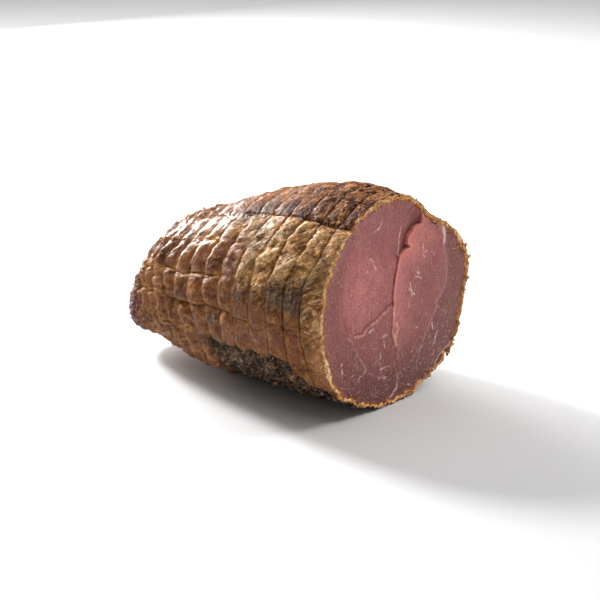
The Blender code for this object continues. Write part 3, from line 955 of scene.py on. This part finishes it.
def rind_material(colours):
    """Smoked skin: brown cells with gold edges, golden folds, grey bloom, bark on top, soot below, with
    crests painted lighter and grooves and creases darker, partly as painted highlight and shade.
    """
    material, tree = new_material("smoked_rind")
    cloud = mottle(tree, 130.0, 3.0)
    blotch = mottle(tree, 300.0, 3.4)
    streaks = mottle(tree, 560.0, 3.4)
    fine = mottle(tree, 1300.0, 3.2)
    bands = mottle(tree, 260.0, 3.4, (3.2, 0.8, 0.8))
    threads = mottle(tree, 420.0, 3.6, (2.4, 0.5, 0.5))
    folds = effect(tree, "folds", Twist=12.0, Length=0.3, Scale=620.0)
    pale_specks = specks(tree, 760.0, 0.42, 0.3)
    gold_specks = specks(tree, 520.0, 0.34, 0.2)
    wrinkle = plus(tree, times(tree, folds, 0.4), times(tree, "high", 0.45))
    wrinkle = plus(tree, wrinkle, times(tree, streaks, 0.15))
    brown = layered(
        tree, mix(tree, ("tint", -1.0, 1.0), colours.rind_brown, colours.rind_rose),
        ((cloud, 0.45, 0.85), 0.55, colours.rind_ochre),
        ((bands, 0.35, 0.0), 0.45, colours.rind_red),
        # Gold on the fold crests: partly golden skin, partly painted highlight.
        ((folds, 0.62, 0.95), times(tree, "folded", 0.6), colours.rind_gold))
    golden = layered(
        # Darker between the golden folds and pale on their crests: partly the skin's colour, partly painted
        # shade and highlight.
        tree, mix(tree, (wrinkle, 0.15, 0.5), colours.golden_low, colours.golden),
        ((wrinkle, 0.5, 0.8), 0.85, colours.golden_pale_and_highlight),
        ((blotch, 0.5, 0.85), 0.45, colours.rind_orange),
        ((cloud, 0.5, 0.15), 0.28, colours.olive),
        ((cloud, 0.6, 0.95), 0.25, colours.rind_red))
    bark = layered(
        tree, mix(tree, (bands, 0.3, 0.75), colours.bark_dark, colours.bark_red),
        ((cloud, 0.5, 0.8), 0.75, colours.bark_gold),
        # Gold on the bark's crests: partly golden bark, partly painted highlight.
        (("high", 0.6, 0.95), 0.35, colours.bark_gold),
        (threads, 0.75),
        (fine, 0.65),
        # Tan flecks, brightened to stand for glints too: partly real flecks, partly painted highlights.
        ((threads, 0.66, 0.9), 0.7, colours.bark_fleck_and_glint),
        (pale_specks, 0.7, colours.bark_fleck_and_glint))
    soot = layered(
        tree, mix(tree, (blotch, 0.25, 0.7), colours.soot_dark, colours.soot),
        ((cloud, 0.5, 0.75), 0.8, colours.soot_grey),
        # Grey bloom on the soot's crests: partly bloom, partly painted highlight.
        (("high", 0.5, 0.9), 0.6, colours.grey_bloom),
        (blotch, 0.8),
        (cloud, 0.7),
        (streaks, 0.8),
        (fine, 0.6),
        (gold_specks, 0.5, colours.rind_gold),
        (pale_specks, 0.35, colours.grey_bloom))
    rim = mix(tree, (streaks, 0.4, 0.9), colours.rim_ochre, colours.rim_cream)
    rim = mix(tree, "rim_brown", rim, mix(tree, blotch, colours.rind_brown, colours.rim_ochre))
    rim = mix(tree, "rim_cream", rim, colours.rim_cream)
    colour = layered(
        tree, tinted(tree, brown, "golden", 0.92, golden),
        ("pale", 0.8, mix(tree, (streaks, 0.3, 0.7), colours.olive, colours.pale_bloom)),
        ("rosy_skin", 0.75, mix(tree, folds, colours.rind_red, colours.tan)),
        ("tan", 0.8, colours.tan),
        ("grey", 0.8, mix(tree, (bands, 0.3, 0.8), colours.grey_dark, colours.grey_bloom)),
        # Redder creases and golden crests by the relief: partly skin colour, partly painted shade and
        # highlight.
        (("high", 0.45, 0.0), 0.35, colours.rind_red),
        (("high", 0.62, 1.0), 0.3, colours.rind_gold),
        (blotch, 0.2),
        # Lighter where the fold bump is higher: painted highlight.
        (folds, times(tree, "folded", 0.35)),
        (streaks, 0.26),
        (fine, 0.28),
        ("frays", 0.75, colours.golden_pale_and_highlight),
        # Lightens the colour in its spots: partly paler skin, partly painted sheen.
        (1.0, times(tree, "lighter_skin_and_sheen", 0.4)),
        ("lighter_skin_and_sheen", 0.3, colours.rind_tan),
        ("tone", 0.16),
        ("gold", 0.7, colours.rind_gold),
        ("bark", 1.0, bark),
        ("smoke", 1.0, soot),
        ("dark", 0.85, mix(tree, streaks, colours.bark_dark, colours.maroon)),
        ("maroon", 0.9, colours.maroon),
        # Darkens the colour in its spots: painted shade.
        (0.0, times(tree, "painted_shade", 0.5)),
        # Grooves, creases and pits painted dark: partly darker skin, partly painted shade.
        ("line", 0.75, colours.groove_dark_and_shade),
        ("pit", 1.0, colours.groove_dark_and_shade),
        # The rim's colour is lightened by a third all round: painted light.
        ("rim", 1.0, vary(tree, rim, 1.0, 0.35)))
    matt = maths(tree, "MAXIMUM", maths(tree, "MAXIMUM", "smoke", "rim"), "dull")
    rough = plus(tree, times(tree, blotch, 0.25), 0.26)
    fold_height = times(tree, times(tree, folds, "folded"), 0.9)
    band_height = times(tree, times(tree, threads, "bark"), 0.8)
    grain = effect(
        tree, "grain", Fine_Scale=450.0, Fine=plus(tree, times(tree, "rugged", 1.3), 0.3),
        Pebble_Scale=620.0, Pebbles=times(tree, "rugged", 0.6),
        Extra_Height=plus(tree, fold_height, band_height))
    finish(tree, Base_Color=colour, Normal=grain,
           Roughness=maths(tree, "ADD", rough, times(tree, matt, 0.25), clamp=True),
           Coat_Weight=plus(tree, times(tree, "wet", 0.6), times(tree, "golden", 0.15)),
           Coat_Roughness=0.22, Specular_IOR_Level=0.22,
           Subsurface_Weight=0.05, Subsurface_Radius=(1.0, 0.45, 0.2), Subsurface_Scale=0.0015)
    return material


def meat_material(colours):
    """Cured lean meat: two tones of pink, browner near the rind, with fat and seams, painted shade beside the
    proud muscle and in the seams, and painted light on the left muscle and on the proud muscle's edge.
    """
    material, tree = new_material("cut_meat")
    cloud = mottle(tree, 85.0, 2.6)
    fibres = mottle(tree, 460.0, 3.0, (1.0, 1.2, 0.85))
    fine = mottle(tree, 1300.0, 2.6)
    scatter = step_up(tree, plus(tree, times(tree, "low", 0.5), cloud), 0.4, 1.1)
    large_specks = times(tree, specks(tree, 560.0, 0.26, 0.12), scatter)
    small_specks = times(tree, specks(tree, 1100.0, 0.36, 0.22), scatter)
    outer = mix(tree, times(tree, "far_right", 0.55), colours.meat_mauve, colours.meat_brown)
    dry = mix(tree, (fibres, 0.3, 0.7), colours.meat_brown, colours.rim_ochre)
    colour = layered(
        # The rosy mask holds the brighter muscle right of the seam and a painted pool of light on the left
        # muscle.
        tree, mix(tree, "rosy", colours.meat_base, colours.meat_light),
        ("red", 0.45, colours.meat_red),
        ("outer", 0.9, outer),
        # Darker and browner towards the bottom of the cut.
        ("low", 0.75, colours.meat_brown),
        ((cloud, 0.4, 0.9), 0.4, colours.meat_deep),
        ((fibres, 0.5, 1.0), 0.3, colours.meat_deep),
        (fine, 0.22),
        ((fine, 0.62, 1.0), 0.3, colours.fat),
        ("shade", 0.75, colours.shade_brown),
        ("edge_light", 0.7, colours.painted_edge_light),
        ("seam", 0.85, colours.seam_red),
        ("salmon", 0.85, colours.salmon),
        ("thin_fat", 0.5, colours.fat),
        (large_specks, 0.7, colours.fat),
        (small_specks, 0.5, colours.fat),
        ("lilac", 0.55, colours.lilac),
        ("fat", 0.9, colours.fat),
        ("dry", 0.8, dry))
    grain = effect(tree, "grain", Fine_Scale=1000.0, Fine=0.3, Pebble_Scale=420.0, Pebbles=0.06)
    finish(tree, Base_Color=colour, Normal=grain, Roughness=plus(tree, times(tree, fibres, 0.2), 0.38),
           Specular_IOR_Level=0.28, Subsurface_Weight=0.12, Subsurface_Radius=(1.0, 0.35, 0.25),
           Subsurface_Scale=0.0015)
    return material


def crumb_material(colours):
    """Dried crumbs along the rim: ochre to brown, with cream specks."""
    material, tree = new_material("rim_crumbs")
    colour = mix(tree, (mottle(tree, 260.0, 3.4), 0.1, 0.6), colours.tan, colours.rim_ochre)
    colour = tinted(tree, colour, specks(tree, 900.0, 0.4, 0.3), 0.7, colours.rim_cream)
    grain = effect(tree, "grain", Fine_Scale=1600.0, Fine=0.4, Pebble_Scale=800.0, Pebbles=0.3)
    finish(tree, Base_Color=colour, Normal=grain, Roughness=0.55)
    return material


# The values that a user may change

def colour_property(name, description, colour):
    return bpy.props.FloatVectorProperty(
        name=name, description=description, subtype="COLOR", size=3, min=0, max=1, default=colour
    )


class HamSizes(bpy.types.PropertyGroup):
    """Sizes of the net's imprint and of the rim."""

    groove_depth: bpy.props.FloatProperty(
        name="Groove depth", description="How deep the net cut into the rind",
        default=1.9 * MM, min=0, max=5 * MM, precision=5, unit="LENGTH")
    puff: bpy.props.FloatProperty(
        name="Puff", description="How far the cells swell between the grooves",
        default=1.35 * MM, min=0, max=5 * MM, precision=5, unit="LENGTH")
    ring_bow: bpy.props.FloatProperty(
        name="Ring bow", description="How far the net's rings bow along the ham",
        default=2.4 * MM, min=0, max=8 * MM, precision=5, unit="LENGTH")
    strand_swing: bpy.props.FloatProperty(
        name="Strand swing", description="Degrees that the strands swing for each millimetre along the ham",
        default=0.08, min=0, max=1)
    rim_width: bpy.props.FloatProperty(
        name="Rim width", description="Thickness of the dried rind where it shows at the cut",
        default=2.0 * MM, min=0.5 * MM, max=6 * MM, precision=5, unit="LENGTH")
    recess: bpy.props.FloatProperty(
        name="Recess", description="How deep the meat's own piece is set into the rind",
        default=9 * MM, min=6 * MM, max=30 * MM, precision=5, unit="LENGTH")
    face_divisions: bpy.props.IntProperty(
        name="Face divisions", description="Squares across the cut face", default=300, min=50, max=310)
    crumbs: bpy.props.IntProperty(
        name="Crumbs", description="How many crumbs lie along the rim", default=520, min=0, max=2000)


class HamColours(bpy.types.PropertyGroup):
    """Colours of the rind and the meat."""

    rind_brown: colour_property("Rind brown", "Crowns of the cells", srgb(112, 66, 30))
    rind_rose: colour_property("Rind rose", "Pinker crowns", srgb(128, 76, 42))
    rind_red: colour_property("Rind red", "Redder, darker skin", srgb(84, 38, 20))
    rind_ochre: colour_property("Rind ochre", "Fat-stained skin", srgb(158, 104, 46))
    rind_tan: colour_property("Rind tan", "Rosy tan skin beside the cut", srgb(198, 144, 104))
    rind_orange: colour_property("Rind orange", "Orange stains in the golden skin", srgb(204, 124, 62))
    rind_gold: colour_property("Rind gold", "Gold edges and crests", srgb(216, 156, 84))
    golden_low: colour_property("Golden low", "Between the golden folds", srgb(150, 101, 60))
    golden: colour_property("Golden", "Golden skin above the slanting fold", srgb(214, 160, 96))
    golden_pale_and_highlight: colour_property("Golden pale", "Crests of the golden folds", srgb(242, 208, 152))
    tan: colour_property("Tan", "Smooth tan flaps", srgb(166, 110, 66))
    olive: colour_property("Olive", "Yellowed skin between the pale bloom", srgb(128, 102, 66))
    pale_bloom: colour_property("Pale bloom", "Cream bloom on the skin", srgb(178, 156, 116))
    grey_bloom: colour_property("Grey bloom", "Grey bloom on the skin", srgb(126, 106, 87))
    grey_dark: colour_property("Dark grey", "Darker grey bloom", srgb(75, 59, 48))
    bark_dark: colour_property("Bark dark", "Dark bark on top", srgb(62, 24, 13))
    bark_red: colour_property("Bark red", "Redder bark on top", srgb(116, 52, 28))
    bark_gold: colour_property("Bark gold", "Golden-olive patches in the bark", srgb(166, 106, 46))
    bark_fleck_and_glint: colour_property("Bark fleck", "Tan flecks in the bark", srgb(212, 156, 98))
    soot: colour_property("Soot", "Blackened underside", srgb(80, 56, 38))
    soot_dark: colour_property("Soot dark", "Darkest soot", srgb(28, 17, 11))
    soot_grey: colour_property("Soot grey", "Grey-green soot", srgb(104, 82, 58))
    maroon: colour_property("Maroon", "Dried meat at the tip", srgb(96, 38, 26))
    groove_dark_and_shade: colour_property("Groove dark", "Bottom of the net's grooves", srgb(44, 26, 15))
    rim_ochre: colour_property("Rim ochre", "Dried rind at the cut", srgb(224, 154, 84))
    rim_cream: colour_property("Rim cream", "Fat in the rind at the cut", srgb(244, 214, 168))
    meat_base: colour_property("Meat base", "Lean meat", srgb(161, 91, 88))
    meat_light: colour_property("Meat light", "Lighter lean by the seam", srgb(232, 142, 136))
    meat_red: colour_property("Meat red", "Proud muscle right of the seam", srgb(144, 75, 70))
    meat_deep: colour_property("Meat deep", "Deeper tone in the lean", srgb(126, 65, 62))
    meat_mauve: colour_property("Meat mauve", "Greyer lean near the rind", srgb(148, 88, 82))
    meat_brown: colour_property("Meat brown", "Browned lean low on the cut", srgb(98, 55, 47))
    # Painted shade in the hollow beside the proud muscle.
    shade_brown: colour_property("Shade brown", "Browned hollow beside the proud muscle", srgb(98, 60, 54))
    painted_edge_light: colour_property("Meat lip", "Bright cut edges", srgb(226, 134, 112))
    salmon: colour_property("Salmon", "Torn bumps along the seams", srgb(234, 174, 152))
    seam_red: colour_property("Seam red", "Shaded seams between muscles", srgb(116, 38, 42))
    lilac: colour_property("Lilac", "Bluish membrane", srgb(150, 122, 138))
    fat: colour_property("Fat", "Fat and gristle", srgb(234, 204, 194))


def sizes_of(context):
    return context.scene.ham_sizes


def colours_of(context):
    return context.scene.ham_colours


# The pieces

def ball_with_rows(name, rows):
    """A closed round primitive whose rings of points are moved to the given rows, in millimetres."""
    last, count = len(rows) - 1, rows.shape[1]
    bpy.ops.mesh.primitive_uv_sphere_add(segments=count, ring_count=last, radius=1.0)
    obj = bpy.context.object
    obj.name = obj.data.name = name
    ball = coordinates(obj.data)
    row = np.rint(np.arccos(np.clip(ball[:, 2], -1, 1)) / np.pi * last).astype(int)
    column = np.rint(np.arctan2(ball[:, 1], ball[:, 0]) / math.tau * count).astype(int) % count
    move_points(obj.data, rows[row, column] * MM)
    return obj, row, column


class HAM_OT_rind(bpy.types.Operator):
    """Make the netted rind, as a closed shell with a recess for the cut meat"""

    bl_idname = "ham.rind"
    bl_label = "Make Rind"

    def execute(self, context):
        start_clean()
        sizes = sizes_of(context)
        grid = net_grid(sizes)
        zones = rind_zones(grid)
        relief, marks = rind_relief(grid, zones, sizes)
        s, angle = grid["s"], grid["angle"]
        relief = relief * (0.35 + 0.65 * ramp(LENGTH - s, 0, 12))
        points = smooth_surface(s, angle) + outward_normal(s, angle) * relief[..., None]
        points[..., 0] = np.minimum(points[..., 0], FACE_X - SKIN_SET_BACK)
        points[..., 2] = np.maximum(points[..., 2], 0)
        inner = rim_columns(sizes)[1]
        points[0, :, 0] = FACE_X - RIM_SET_BACK
        turn = angle[0]
        crumbly = fractal(skin_point(0 * turn, turn, 2, 2), 81)
        middle = np.array(FACE_MIDDLE)
        recess = FACE_X - sizes.recess / MM
        middle_of_rim = 0.5 * (points[0, :, 1:] + inner)
        lip = np.stack([FACE_X - LIP_SET_BACK + 0.35 * crumbly, *middle_of_rim.T], axis=-1)
        edge = np.stack([FACE_X - EDGE_SET_BACK + 0.25 * crumbly, *inner.T], axis=-1)
        floor = np.stack([0 * turn + recess, *inner.T], axis=-1)
        near_floor = np.stack([0 * turn + recess, *(middle + (inner - middle) * 0.5).T], axis=-1)
        centre = np.repeat([[recess, *FACE_MIDDLE]], COLUMNS, axis=0)
        tip = np.repeat(points[-1].mean(axis=0)[None, :], COLUMNS, axis=0)
        tip[:, 0] = -FACE_X + TIP_SET_BACK
        inside_rows = [centre, near_floor, floor, edge, lip]
        obj, row, column = ball_with_rows("rind", np.concatenate([inside_rows, points, [tip]]))
        inward = np.full((len(inside_rows), COLUMNS), -1.0)
        s = np.concatenate([inward, s, np.full((1, COLUMNS), LENGTH)])
        angle = np.concatenate([np.repeat(angle[:1], len(inside_rows), axis=0), angle, angle[-1:]])
        for name, values in {**zones, **marks}.items():
            padded = np.concatenate([np.repeat(values[:1], len(inside_rows), axis=0), values, values[-1:]])
            store(obj.data, name, padded[row, column])
        rim = ramp(1.2 + 0.9 * fractal(skin_point(s, angle, 3, 3), 82) - s, 0, 0.8)
        browned = turn_bump(angle, 340, 55) + 0.5 * turn_bump(angle, 250, 25)
        browned = 0.7 * ramp(browned + 0.6 * fractal(skin_point(s, angle, 6, 6), 83), 0.5, 1.2)
        store(obj.data, "rim", rim[row, column])
        store(obj.data, "rim_brown", browned[row, column])
        store(obj.data, "rim_cream", turn_bump(angle, 203, 6)[row, column])
        face_out(obj)
        obj.data.shade_smooth()
        hand_over(obj, rind_material(colours_of(context)))
        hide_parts("ham")
        return {"FINISHED"}


class HAM_OT_cut_meat(bpy.types.Operator):
    """Make the cut meat, with its proud muscle, seams and streaks of fat"""

    bl_idname = "ham.cut_meat"
    bl_label = "Make Cut Meat"

    def execute(self, context):
        start_clean()
        sizes = sizes_of(context)
        inner = rim_columns(sizes)[1]
        bpy.ops.mesh.primitive_grid_add(
            x_subdivisions=sizes.face_divisions, y_subdivisions=sizes.face_divisions, size=2.0)
        obj = context.object
        obj.name = obj.data.name = "cut_meat"
        square = coordinates(obj.data)
        u, v = square[:, 0], square[:, 1]
        y = u * np.sqrt(1 - v * v / 2)
        z = v * np.sqrt(1 - u * u / 2)
        reach = np.hypot(y, z)
        spoke = inner - np.array(FACE_MIDDLE)
        spoke_angle = np.arctan2(spoke[:, 1], spoke[:, 0])
        order = np.argsort(spoke_angle)
        rim_reach = np.linalg.norm(spoke, axis=1)
        radius = np.interp(np.arctan2(z, y), spoke_angle[order], rim_reach[order], period=math.tau)
        tucked = radius + MEAT_OVERLAP
        inside = radius - reach * tucked
        y = FACE_MIDDLE[0] + y * tucked
        z = FACE_MIDDLE[1] + z * tucked
        depth, marks = face_marks(y, z, inside)
        depth = MEAT_SET_BACK + depth - depth.min() + 0.6 * ramp(1.2 - inside, 0, 1.4)
        move_points(obj.data, np.stack([FACE_X - depth, y, z], axis=-1) * MM)
        for name, values in marks.items():
            store(obj.data, name, values)
        bpy.ops.object.mode_set(mode="EDIT")
        bpy.ops.mesh.select_all(action="SELECT")
        bpy.ops.mesh.region_to_loop()
        inward = -(sizes.recess - FLOOR_CLEARANCE * MM)
        bpy.ops.mesh.extrude_edges_move(TRANSFORM_OT_translate={"value": (inward, 0, 0)})
        bpy.ops.mesh.edge_face_add()
        bpy.ops.object.mode_set(mode="OBJECT")
        face_out(obj)
        obj.data.shade_smooth()
        bpy.ops.object.shade_smooth_by_angle(angle=math.radians(SMOOTH_UP_TO))
        hand_over(obj, meat_material(colours_of(context)))
        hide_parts("ham")
        return {"FINISHED"}


CURL_STEPS = 30
KNOBS = ((66, 36.2, 1.5), (61.8, 23.2, 1.1), (56.3, 17.7, 1.2), (18.9, 2.9, 1.0), (74.6, 79.1, 1.0),
         (73.6, 65.2, 1.4), (70.6, 87.7, 1.2))
CURL = ((55.4, 88.7), (59.5, 88.1), (62.9, 89.0), (65.4, 90.5), (65.2, 92.2), (64.5, 93.2))


def curl_rows():
    """Rings of points along the loose curl, thin at both of its ends."""
    steps = np.linspace(0, len(CURL) - 1, CURL_STEPS)
    y, z = (np.interp(steps, np.arange(len(CURL)), [p[k] for p in CURL])[:, None] for k in (0, 1))
    lift = FACE_X + 0.4 - 0.8 * np.linspace(1, 0, CURL_STEPS)[:, None] ** 4
    turn = np.linspace(0, math.tau, 8, endpoint=False)
    along = np.clip(np.linspace(0, 1, CURL_STEPS), 0.02, 0.98)
    thick = 0.24 * np.sin(np.pi * along)[:, None] ** 0.3
    across, up = thick * np.cos(turn), thick * np.sin(turn)
    rows = np.stack([lift + across, y + 0.3 * thick * np.sin(turn), z + up], axis=-1)
    rows[0] = rows[0].mean(axis=0)
    rows[-1] = rows[-1].mean(axis=0)
    return rows


class HAM_OT_rim_crumbs(bpy.types.Operator):
    """Scatter dried crumbs along the rim of the cut, with one loose curl of sinew"""

    bl_idname = "ham.rim_crumbs"
    bl_label = "Make Rim Crumbs"

    def execute(self, context):
        start_clean()
        sizes = sizes_of(context)
        outer, inner = rim_columns(sizes)
        dice = np.random.default_rng(12)
        places = []
        while len(places) < sizes.crumbs:
            column = dice.integers(0, COLUMNS)
            turn = math.degrees(math.atan2(*(outer[column, 1:] - np.array(FACE_MIDDLE))[::-1])) % 360
            crumbly = turn < CRUMBLY_UNTIL or turn > CRUMBLY_FROM
            if not crumbly and dice.random() < 0.6:
                continue
            size = dice.uniform(0.25, 0.6) + (dice.uniform(0, 0.5) ** 2 if crumbly else 0)
            share = dice.uniform(-0.3, 1.1) if crumbly else dice.uniform(0.0, 1.0)
            spot = outer[column, 1:] * (1 - share) + inner[column] * share
            places.append((spot[0], spot[1], size, 0.1 + 0.7 * (1 - share)))
        places += [(y, z, size, 1.2) for y, z, size in KNOBS]
        bpy.ops.mesh.primitive_ico_sphere_add(subdivisions=2, radius=1.0)
        pattern = context.object
        ball = coordinates(pattern.data)
        crumbs = []
        for y, z, size, depth in places:
            stretch = dice.uniform(0.6, 1.4, 3)
            rough = 1 + 0.6 * noise(ball * 1.5 + dice.uniform(0, 90, 3), 91)[:, None]
            shape = ball * rough * stretch * size + (FACE_X - depth, y, z)
            shape[:, 0] = np.minimum(shape[:, 0], FACE_X + 0.6)
            shape[:, 2] = np.maximum(shape[:, 2], 0)
            crumb = pattern.copy()
            crumb.data = pattern.data.copy()
            context.collection.objects.link(crumb)
            move_points(crumb.data, shape * MM)
            crumbs.append(crumb)
        bpy.data.objects.remove(pattern)
        crumbs.append(ball_with_rows("curl", curl_rows())[0])
        bpy.ops.object.select_all(action="DESELECT")
        for crumb in crumbs:
            crumb.select_set(True)
        context.view_layer.objects.active = crumbs[0]
        bpy.ops.object.join()
        obj = context.object
        obj.name = obj.data.name = "rim_crumbs"
        face_out(obj)
        obj.data.shade_smooth()
        hand_over(obj, crumb_material(colours_of(context)))
        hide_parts("ham")
        return {"FINISHED"}


# The stage, with the camera as the photograph has it: the aim point is in metres

CAMERA_AIM = (-0.0135, 0.0302, 0.0338)
CAMERA_AZIMUTH = 45.0
CAMERA_ELEVATION = 20.0
CAMERA_DISTANCE = 0.9
FOCAL_PIXELS = 1339.5
IMAGE_PIXELS = 600
SENSOR = 36.0

# Each lamp's name, azimuth, elevation, distance and size in metres, and power in watts
LAMPS = (
    ("back_left", -100, 14, 1.4, 0.9, 40),
    ("window", -84, 40, 1.6, 0.35, 32),
    ("back_right", 140, 40, 1.6, 0.5, 12),
    ("overhead", 45, 88, 4.0, 5.0, 60),
)


def away_from_aim(azimuth, elevation, distance):
    a, e = math.radians(azimuth), math.radians(elevation)
    back = Vector((math.sin(a) * math.cos(e), -math.cos(a) * math.cos(e), math.sin(e)))
    return Vector(CAMERA_AIM) + back * distance


def aim_at_ham(obj):
    toward = Vector(CAMERA_AIM) - obj.location
    obj.rotation_euler = toward.to_track_quat("-Z", "Y").to_euler()


def add_lamp(name, azimuth, elevation, distance, size, power):
    bpy.ops.object.light_add(type="AREA", location=away_from_aim(azimuth, elevation, distance))
    lamp = bpy.context.object
    lamp.name = name
    lamp.data.shape = "DISK"
    lamp.data.size = size
    lamp.data.energy = power
    aim_at_ham(lamp)


def floor_material():
    material, tree = new_material("pale_floor")
    colour = mix(tree, mottle(tree, 3.0, 0.5), (0.72, 0.72, 0.72), (0.74, 0.74, 0.74))
    finish(tree, Base_Color=colour, Roughness=0.9, Specular_IOR_Level=0.1)
    return material


class HAM_OT_stage(bpy.types.Operator):
    """Set out the pale floor, the soft studio lights and the camera"""

    bl_idname = "ham.stage"
    bl_label = "Set Out Stage"

    def execute(self, context):
        start_clean()
        bpy.ops.mesh.primitive_plane_add(size=40.0)
        floor = context.object
        floor.name = "floor"
        floor.data.materials.append(floor_material())
        world = bpy.data.worlds.new("studio")
        world.use_nodes = True
        background = world.node_tree.nodes["Background"]
        background.inputs["Color"].default_value = (1, 1, 1, 1)
        background.inputs["Strength"].default_value = 0.22
        context.scene.world = world
        for lamp in LAMPS:
            add_lamp(*lamp)
        bpy.ops.object.camera_add(location=away_from_aim(CAMERA_AZIMUTH, CAMERA_ELEVATION, CAMERA_DISTANCE))
        camera = context.object
        camera.name = "camera"
        camera.data.sensor_width = SENSOR
        camera.data.lens = FOCAL_PIXELS / IMAGE_PIXELS * SENSOR
        aim_at_ham(camera)
        context.scene.camera = camera
        context.scene.view_settings.view_transform = "Standard"
        return {"FINISHED"}


class HAM_PT_panel(bpy.types.Panel):
    """Lists the ham's pieces, sizes and colours"""

    bl_idname = "HAM_PT_panel"
    bl_label = "Smoked Ham"
    bl_space_type = "VIEW_3D"
    bl_region_type = "UI"
    bl_category = "Ham"

    def draw(self, context):
        for operator in OPERATORS:
            self.layout.operator(operator.bl_idname)
        for group in (context.scene.ham_sizes, context.scene.ham_colours):
            box = self.layout.box()
            for name in group.__annotations__:
                box.prop(group, name)


OPERATORS = (HAM_OT_rind, HAM_OT_cut_meat, HAM_OT_rim_crumbs, HAM_OT_stage)
CLASSES = (HamSizes, HamColours, *OPERATORS, HAM_PT_panel)


def register():
    for item in CLASSES:
        bpy.utils.register_class(item)
    bpy.types.Scene.ham_sizes = bpy.props.PointerProperty(type=HamSizes)
    bpy.types.Scene.ham_colours = bpy.props.PointerProperty(type=HamColours)


def unregister():
    del bpy.types.Scene.ham_colours
    del bpy.types.Scene.ham_sizes
    for item in reversed(CLASSES):
        bpy.utils.unregister_class(item)


def main():
    """Builds the stage and every piece in order."""
    register()
    bpy.ops.ham.stage()
    bpy.ops.ham.rind()
    bpy.ops.ham.cut_meat()
    bpy.ops.ham.rim_crumbs()


if __name__ == "__main__":
    main()
